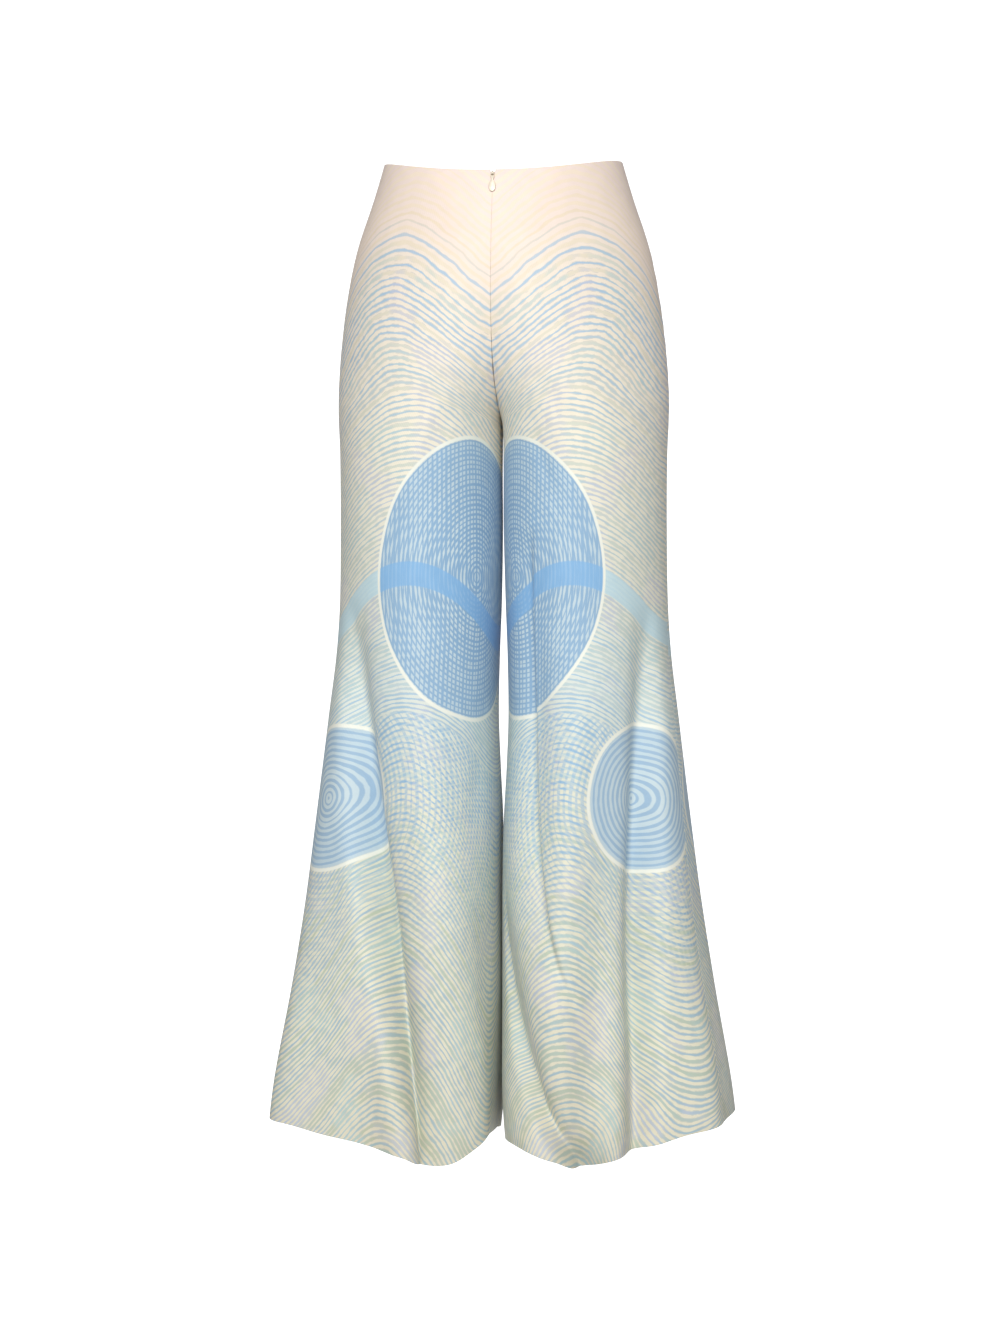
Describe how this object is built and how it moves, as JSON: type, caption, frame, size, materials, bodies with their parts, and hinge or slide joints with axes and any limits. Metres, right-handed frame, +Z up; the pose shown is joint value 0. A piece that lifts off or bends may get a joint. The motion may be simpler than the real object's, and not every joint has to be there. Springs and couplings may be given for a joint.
{
  "type": "flared trousers",
  "caption": "High-waisted palazzo trousers with very wide flared legs, a plain faced waist and a hidden centre-back zip with a teardrop pull, standing open as worn",
  "frame": {"origin": "the middle of the waist opening, level with the waist edge at the side seams", "axes": "+Z is up, +X is the wearer's right and +Y is the front, so the zip faces -Y"},
  "size_m": [0.512, 0.3107, 1.0856],
  "materials": {
    "satin": "silky satin with a soft sheen, printed in cream, sky blue and pale sage",
    "tape": "matt woven zip tape in cream",
    "zip": "cream enamel on metal"
  },
  "bodies": {
    "garment": {"back_left": "satin", "back_right": "satin", "front_left": "satin", "front_right": "satin", "zip_tape_left": "tape", "zip_tape_right": "tape", "zip_slider": "zip"},
    "pull_tab": {"zip_pull": "zip"}
  },
  "joints": [
    {"name": "pull_tab_swing", "type": "hinge", "parent": "garment", "child": "pull_tab", "pos_m": [0, -0.10484, -0.02334], "axis": [-1, 0, 0], "range_deg": [0, 160]}
  ]
}
